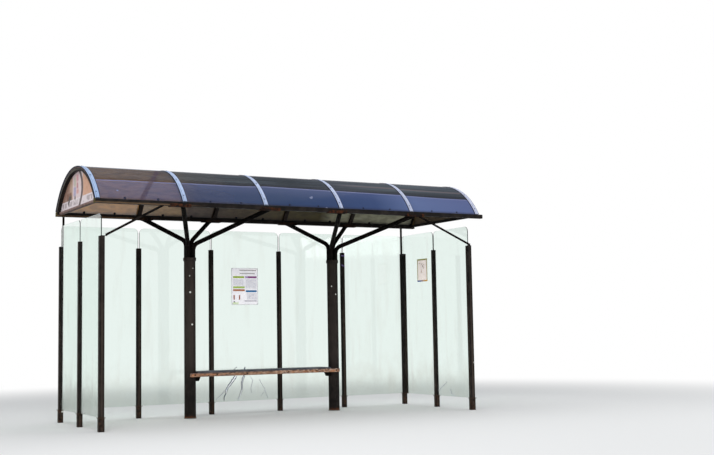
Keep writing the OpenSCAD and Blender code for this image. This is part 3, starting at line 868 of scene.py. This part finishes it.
# The crushed glass glows, painted light that keeps it white in the shade.
f.surface(white, 0.5, Normal=f.bump(f.grain(400, 3), 0.002), Specular_IOR_Level=0.5,
          Emission_Color=white, Emission_Strength=0.45)
broken_glass = f.owner
opened_glass = clouded("opened_glass", (150, 3, 0.4, 0.6), shade(34, 44, 72), shade(70, 86, 112),
                       0.45, (400, 3, 0.002, 1.0), 0.3)


def crack(bm, points, wide, narrow, plane, axis, proud=0.0004):
    """A jagged sliver of broken glass along points, through the pane at plane."""
    line = [Vector(points[0])]
    for a, b in zip(points, points[1:]):
        a, b = Vector(a), Vector(b)
        parts = max(1, round((b - a).length / CRACK_STEP))
        off = Vector((-(b - a).y, (b - a).x)).normalized()
        line += [a.lerp(b, k / parts) + off * chance.uniform(-0.3, 0.3) * CRACK_STEP * (k < parts)
                 for k in range(1, parts + 1)]
    rings = []
    for i, p in enumerate(line):
        along = (line[min(i + 1, len(line) - 1)] - line[max(i - 1, 0)]).normalized()
        half = (wide + (narrow - wide) * i / (len(line) - 1)) / 2 * chance.uniform(0.7, 1.3)
        off = Vector((-along.y, along.x)) * half
        near, far = plane - PANE_HALF - proud, plane + PANE_HALF + proud
        loop = ((p - off, near), (p + off, near), (p + off, far), (p - off, far))
        rings.append([
            bm.verts.new((q.x, deep, q.y) if axis == 1 else (deep, q.x, q.y)) for q, deep in loop
        ])
    skin(bm, rings)


def cracks(name, bursts, plane, axis):
    """Cracks with a dark opened border and, on the wide ones, a crushed white middle."""
    border, middle = bmesh.new(), bmesh.new()
    for points, wide, narrow, white in bursts:
        state = chance.getstate()
        crack(border, points, wide, narrow, plane, axis)
        if white:
            chance.setstate(state)
            crack(middle, points, wide * white, narrow * white, plane, axis, 0.0009)
    piece(name, border, opened_glass)
    piece(name + "_white", middle, broken_glass)


cracks("rear_pane_cracks", (
    ([(-0.200, 0.472), (-0.270, 0.385), (-0.326, 0.310), (-0.340, 0.260)], 0.036, 0.022, 0.5),
    ([(-0.326, 0.310), (-0.395, 0.250), (-0.478, 0.177)], 0.010, 0.005, 0.5),
    ([(-0.340, 0.260), (-0.368, 0.198), (-0.366, 0.160)], 0.009, 0.005, 0),
    ([(-0.070, 0.583), (-0.087, 0.532), (-0.088, 0.468)], 0.013, 0.014, 0),
    ([(-0.088, 0.468), (-0.116, 0.392), (-0.117, 0.289)], 0.026, 0.018, 0.35),
    ([(-0.117, 0.289), (-0.174, 0.164)], 0.018, 0.010, 0.6),
    ([(-0.185, 0.586), (-0.311, 0.501)], 0.004, 0.003, 0),
    ([(0.000, 0.458), (0.039, 0.413), (0.011, 0.304), (0.015, 0.248)], 0.006, 0.004, 0.7),
    ([(0.132, 0.415), (0.212, 0.280), (0.249, 0.171)], 0.006, 0.004, 0.7),
    ([(0.212, 0.280), (0.148, 0.201)], 0.005, 0.003, 0.7),
), SCREEN_Y, 1)
cracks("side_pane_cracks", (
    ([(-0.251, 0.335), (-0.115, 0.258), (-0.054, 0.214)], 0.006, 0.008, 0.6),
    ([(-0.329, 0.246), (-0.356, 0.177), (-0.431, 0.156)], 0.009, 0.005, 0.6),
), SCREEN_X[5], 0)


# Ties. A round stay leans from each front post up to the front beam, a square
# hanger ties each rear corner post to the rear beam, and a bolted clamp holds
# the right rear pane beside its corner post. Painted steel.
STAY_R = 0.013
STAY_Y, STAY_HEAD_Y = -0.816, -0.792
LUG_THICK = 0.006
CLAMP_Y = (0.7375, 0.7865)
CLAMP_BOLT, CLAMP_BOLT_Z = 0.008, (0.35, 0.93, 1.51, 2.02)

tie_paint = close_paint(weathered_paint(
    "tie_paint", shade(10, 10, 10), shade(24, 21, 20), fade=(2.45, 1.9), rust=0.3, specular=0.0))
dress("corner_hangers", tie_paint)

bm = bmesh.new()
for post_x, reach, head_x, head_z in ((SCREEN_X[0], 0.046, -1.752, BEAM_LOW + 0.004),
                                      (SCREEN_X[5], 0.020, 1.624, SHOE_Z + 0.002)):
    foot = Vector((post_x + reach, STAY_Y, POST_TOP + 0.013))
    head = Vector((head_x, STAY_HEAD_Y, head_z))
    sweep(bm, [foot, foot.lerp(head, 0.5), head], STAY_R, 24, closed=False)
    block(bm, (post_x - 0.010, STAY_Y - STAY_R, POST_TOP + 0.0002),
          (post_x + reach + STAY_R, STAY_Y + STAY_R, POST_TOP + LUG_THICK), 0.001)
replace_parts(piece("thick_stays", bm, tie_paint), "front_stays")

flats, bolts = bmesh.new(), bmesh.new()
for way in (-1, 1):
    inner, outer = (SCREEN_X[5] + way * out for out in (PANE_HALF + 0.0005, POST_HALF))
    block(flats, (inner, CLAMP_Y[0], LEDGE_Z), (outer, CLAMP_Y[1], POST_TOP), 0.001)
    for z in CLAMP_BOLT_Z:
        hex_bolt(bolts, (outer, sum(CLAMP_Y) / 2, z), (way, 0, 0), CLAMP_BOLT)
block(flats, (SCREEN_X[5] - 0.031, CLAMP_Y[0] - 0.003, LEDGE_Z - 0.006),
      (SCREEN_X[5] + 0.031, CLAMP_Y[1], LEDGE_Z), 0.0008)
piece("corner_pane_clamp", flats, post_paint)
piece("corner_clamp_bolts", bolts, rear_rust)


# Bench. A dark board between the columns behind one worn length of timber,
# on triangular brackets welded to the columns. The timber is bare orange wood
# with flakes of old paint; domed bolts hold it to the brackets.
BOLT_X = (-0.985, -0.70, -0.30, 0.27, 0.67, 0.955)
RAIL_FACE_Y = 0.225
RAIL_MIDDLE_Z = 0.523

f = new_finish("seat_board")
worn = f.rise(f.grain(8, 5, (1, 3, 3)), 0.42, 0.68)
f.surface(f.mix(worn * 0.7, shade(62, 66, 74), shade(104, 106, 114)), 0.5 + worn * 0.2,
          Normal=f.bump(f.grain(120, 4), 0.001, 0.5), Specular_IOR_Level=0.25)
dress("bench_seat", f.owner, 0.002)

f = new_finish("worn_timber")
fibre = f.grain(1, 7, (5, 150, 150), rough=0.65)
wave = f.rise(f.grain(1, 3, (1.6, 26, 26), shift=4), 0.40, 0.62)
wood = f.mix(f.rise(fibre, 0.36, 0.64), shade(104, 76, 58), shade(184, 136, 104))
ends = f.rise(f.x, -0.45, -0.95) * 0.5 + 0.3
wood = f.mix(wave * ends, wood, shade(204, 124, 72))
old_paint = f.rise(f.grain(11, 6, (1, 3, 3), shift=7, rough=0.6), 0.50, 0.60)
wood = f.mix(old_paint * 0.65, wood, shade(140, 122, 114))
wood = f.mix(f.rise(f.z, 0.533, 0.541) * 0.75, wood, shade(66, 66, 72))
pale = f.rise(f.grain(26, 5, (1, 2, 2), shift=11), 0.48, 0.60)
pale = pale * (0.25 + f.rise(f.x, -0.6, 0.6) * 0.5)
wood = f.mix(pale, wood, shade(206, 176, 154))
marks = f.rise(f.grain(34, 4, (1, 2, 2), shift=1), 0.52, 0.62)
wood = f.mix(marks * 0.75, wood, shade(52, 40, 36))
f.surface(wood, 0.62 + old_paint * 0.1, Normal=f.bump(fibre * 0.7 + old_paint * 0.3, 0.0016, 0.8),
          Specular_IOR_Level=0.3)
dress("bench_front_rail", f.owner, 0.0015)
dress("bench_brackets", branch_paint, 0.0015)

DOME = [(0, -0.001), (0.010, -0.001), (0.0098, 0.0014), (0.0070, 0.0042), (0.0030, 0.0054),
        (0, 0.0056)]
bm = bmesh.new()
for x in BOLT_X:
    turned(bm, (x, RAIL_FACE_Y, RAIL_MIDDLE_Z), (0, -1, 0), DOME, 20)
piece("bench_bolts", bm, rear_rust)


# Timetable. A printed sheet with a plain back, in a slim holder fixed to the
# third rear pane with four screws. Generic print: two grey heads, coloured
# route bars and grey columns of times.
lo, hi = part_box("timetable_sheet")
RIM, PROUD = 0.005, 0.0018

f = new_finish("timetable_print")
text = f.rise(f.grain(1, 2, (260, 1, 60)), 0.47, 0.53)
base = f.mix(f.rise(f.grain(5, 3), 0.3, 0.7), shade(242, 240, 244), shade(230, 229, 236))
for x0, x1, z0, z1, colour, broken in (
    (0.112, 0.350, 0.438, 0.455, shade(136, 132, 130), 0.45),
    (0.112, 0.330, 0.397, 0.413, shade(146, 144, 142), 0.45),
    (0.021, 0.178, 0.345, 0.370, shade(142, 166, 46), 0.0),
    (0.192, 0.355, 0.345, 0.370, shade(118, 52, 112), 0.0),
    (0.192, 0.230, 0.345, 0.370, shade(160, 136, 176), 0.0),
    (0.021, 0.170, 0.247, 0.331, shade(196, 196, 204), 0.85),
    (0.200, 0.355, 0.208, 0.331, shade(196, 196, 204), 0.85),
    (0.021, 0.185, 0.212, 0.238, shade(154, 180, 84), 0.0),
    (0.021, 0.185, 0.175, 0.201, shade(164, 104, 74), 0.0),
    (0.200, 0.355, 0.162, 0.188, shade(26, 98, 146), 0.0),
    (0.026, 0.045, 0.065, 0.126, shade(144, 88, 68), 0.0),
    (0.102, 0.121, 0.065, 0.126, shade(144, 88, 68), 0.0),
    (0.214, 0.355, 0.065, 0.150, shade(190, 190, 198), 0.85),
    (0.178, 0.355, 0.041, 0.056, shade(160, 158, 166), 0.2),
    (0.028, 0.048, 0.028, 0.046, shade(96, 92, 100), 0.0),
    (0.014, 0.100, 0.006, 0.032, shade(196, 214, 170), 0.3),
):
    mark = f.band(f.x, lo.x + x0, lo.x + x1) * f.band(f.z, lo.z + z0, lo.z + z1)
    base = f.mix(mark * (1 - broken * text) if broken else mark, base, colour)
creased = f.rise(f.grain(14, 4), 0.4, 0.7)
paper = f.mix(creased * 0.1, base, shade(190, 192, 202))
blank = f.mix(creased * 0.2, shade(222, 222, 226), shade(198, 200, 206))
paper = f.mix(f.rise(f.faces((0, 1, 0)), 0.5, 0.8), paper, blank)
# The print glows a little, painted light that lifts it out of the shade under the roof.
f.surface(paper, 0.45, Normal=f.bump(creased, 0.001, 0.3), Specular_IOR_Level=0.3,
          Emission_Color=paper, Emission_Strength=0.42)
dress("timetable_sheet", f.owner, 0.0006)
# Its faces are drawn in, or its back would lie in the same plane as the pane's face.
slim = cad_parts["timetable_sheet"].modifiers.new("clear_of_pane", "DISPLACE")
slim.mid_level, slim.strength = 0.0, -0.0003

f = new_finish("holder_edge")
scuff = f.rise(f.grain(60, 4), 0.45, 0.7)
f.surface(f.mix(scuff * 0.5, shade(240, 241, 244), shade(206, 208, 212)), 0.35 + scuff * 0.2,
          Metallic=0.1, Normal=f.bump(scuff, 0.0005, 0.4))
bm = bmesh.new()
for a, b in (
    ((lo.x - 0.001, lo.z - 0.001), (hi.x + 0.001, lo.z + RIM)),
    ((lo.x - 0.001, hi.z - RIM), (hi.x + 0.001, hi.z + 0.001)),
    ((lo.x - 0.001, lo.z + RIM), (lo.x + RIM, hi.z - RIM)),
    ((hi.x - RIM, lo.z + RIM), (hi.x + 0.001, hi.z - RIM)),
):
    block(bm, (a[0], lo.y - PROUD, a[1]), (b[0], hi.y - 0.0002, b[1]), 0.0006)
piece("timetable_holder", bm, f.owner)
bm = bmesh.new()
for x in (lo.x + 0.012, hi.x - 0.012):
    for z in (lo.z + 0.012, hi.z - 0.012):
        turned(bm, (x, lo.y, z), (0, -1, 0),
               [(0, -0.0005), (0.004, -0.0005), (0.0035, 0.0012), (0, 0.0018)], 14)
piece("timetable_screws", bm, steel_dark)


# Notice and tape. A small card is stuck inside the right rear pane: green
# head, grey border, blue and ochre foot, bare field with a few dark marks.
# Two scraps of purple tape cling to the fifth rear post.
CARD_X, CARD_Y, CARD_Z = (2.3388, 2.3402), (0.155, 0.408), (1.677, 1.987)
TAPE_HALF = 0.0262
TAPE_Y = (0.7852, 0.7868)

f = new_finish("notice_print")
(y0, y1), (z0, z1) = CARD_Y, CARD_Z
marks = f.rise(f.grain(1, 2, (1, 40, 34), shift=3), 0.56, 0.62)
marks = marks * f.band(f.z, z0 + 0.075, z1 - 0.05, 0.01) * f.band(f.y, y0 + 0.07, y1 - 0.06, 0.01)
field = f.mix(marks * 0.7, shade(244, 232, 226), shade(120, 112, 112))
rim = f.band(f.y, y0 + 0.022, y1 - 0.022) * f.band(f.z, z0 + 0.012, z1 - 0.012)
field = f.mix(rim, shade(168, 162, 132), field)
field = f.mix(f.rise(f.z, z1 - 0.021, z1 - 0.018), field, shade(136, 136, 74))
foot = f.mix(f.rise(f.y, y1 - 0.06, y0 + 0.05), shade(62, 84, 138), shade(188, 140, 70))
field = f.mix(f.rise(f.z, z0 + 0.021, z0 + 0.018), field, foot)
field = f.mix(f.rise(f.faces((1, 0, 0)), 0.5, 0.8), field, shade(222, 214, 208))
field = f.mix(f.rise(f.grain(18, 4), 0.4, 0.7) * 0.15, field, shade(190, 176, 168))
# The card glows a little, painted light that lifts it out of the shade.
f.surface(field, 0.6, Normal=f.bump(f.grain(40, 3), 0.0008, 0.3), Specular_IOR_Level=0.2,
          Emission_Color=field, Emission_Strength=0.45)
bm = bmesh.new()
block(bm, *zip(CARD_X, CARD_Y, CARD_Z), 0.0004)
piece("side_pane_notice", bm, f.owner)

tape = clouded("purple_tape", (40, 4, 0.4, 0.65), shade(96, 74, 146), shade(132, 116, 168), 0.5,
               (90, 4, 0.001, 0.6), 0.3)
bm = bmesh.new()
for z, slope, wide in ((2.039, 0.0, 0.014), (1.905, -0.026, 0.012)):
    section = ((TAPE_Y[0], 0), (TAPE_Y[1], 0), (TAPE_Y[1], wide), (TAPE_Y[0], wide))
    skin(bm, [
        [bm.verts.new((SCREEN_X[4] + side * TAPE_HALF, y, z + dz + side * slope / 2))
         for y, dz in section] for side in (-1, 1)
    ])
piece("post_tape", bm, tape)


# Floor, light and camera. A plain pale floor that fades to white, a soft
# studio, and the camera where the photograph was taken.
FADE_FROM, FADE_TO = 5.0, 11.0
LAMPS_AIM = (0, 0, 1.4)
CAMERA_AT = (-6.056, -12.735, 1.018)
SENSOR_MM, FOCAL_MM = 36.0, 57.12
YAW, PITCH, ROLL = (math.radians(a) for a in (-29.563, 5.228, -0.991))


def looked_at(f):
    """1 for the rays that show a surface, directly or through metal and glass."""
    seen, gloss, through = f.node(
        "LightPath", out=("Is Camera Ray", "Is Glossy Ray", "Is Transmission Ray"))
    return f.node("Clamp", sockets={"Value": seen + gloss + through})


f = new_finish("pale_floor")
away = f.node("VectorMath", {"operation": "LENGTH"}, {0: f.place}, out="Value")
matt = f.node("BsdfDiffuse", sockets={"Color": (0.80, 0.80, 0.80, 1)})
white = f.node("Emission", sockets={"Color": (1, 1, 1, 1), "Strength": 1.0})
fade = f.rise(away, FADE_FROM, FADE_TO) * looked_at(f)
both = f.node("MixShader", sockets={0: fade, 1: matt, 2: white})
f.links.new(both.socket, f.end.inputs["Surface"])
bm = bmesh.new()
bmesh.ops.create_grid(bm, x_segments=1, y_segments=1, size=60)
mesh = bpy.data.meshes.new("floor")
bm.to_mesh(mesh)
bm.free()
mesh.materials.append(f.owner)
floor = bpy.data.objects.new("floor", mesh)
bpy.context.scene.collection.objects.link(floor)

world = bpy.data.worlds.new("studio")
bpy.context.scene.world = world
f = Finish(world)
ambient = f.node("Background", sockets={"Color": (0.95, 0.98, 1.0, 1), "Strength": 0.55})
backdrop = f.node("Background", sockets={"Color": (1, 1, 1, 1), "Strength": 1.0})
both = f.node("MixShader", sockets={0: looked_at(f), 1: ambient, 2: backdrop})
f.links.new(both.socket, f.end.inputs["Surface"])

for name, spot, size, power in (
    ("key", (-5.0, -7.5, 7.5), 5.0, 420),
    ("fill", (6.5, -6.0, 5.0), 5.0, 160),
    ("top", (0.5, 1.0, 8.0), 6.0, 150),
):
    lamp = bpy.data.lights.new(name, "AREA")
    lamp.size, lamp.energy = size, power
    thing = bpy.data.objects.new(name, lamp)
    thing.location = spot
    thing.rotation_mode = "QUATERNION"
    thing.rotation_quaternion = (Vector(LAMPS_AIM) - Vector(spot)).to_track_quat("-Z", "Y")
    bpy.context.scene.collection.objects.link(thing)

ahead = Vector((-math.sin(YAW), math.cos(YAW), 0))
aside = Vector((math.cos(YAW), math.sin(YAW), 0))
upward = Vector((0, 0, 1))
look = ahead * math.cos(PITCH) + upward * math.sin(PITCH)
raised = upward * math.cos(PITCH) - ahead * math.sin(PITCH)
right = aside * math.cos(ROLL) + raised * math.sin(ROLL)
top = raised * math.cos(ROLL) - aside * math.sin(ROLL)
lens = bpy.data.cameras.new("photo_view")
lens.sensor_width, lens.lens = SENSOR_MM, FOCAL_MM
camera = bpy.data.objects.new("photo_view", lens)
turn = Matrix((right, top, -look)).transposed().to_4x4()
camera.matrix_world = Matrix.Translation(CAMERA_AT) @ turn
bpy.context.scene.collection.objects.link(camera)
bpy.context.scene.camera = camera
bpy.context.scene.view_settings.view_transform = "Standard"
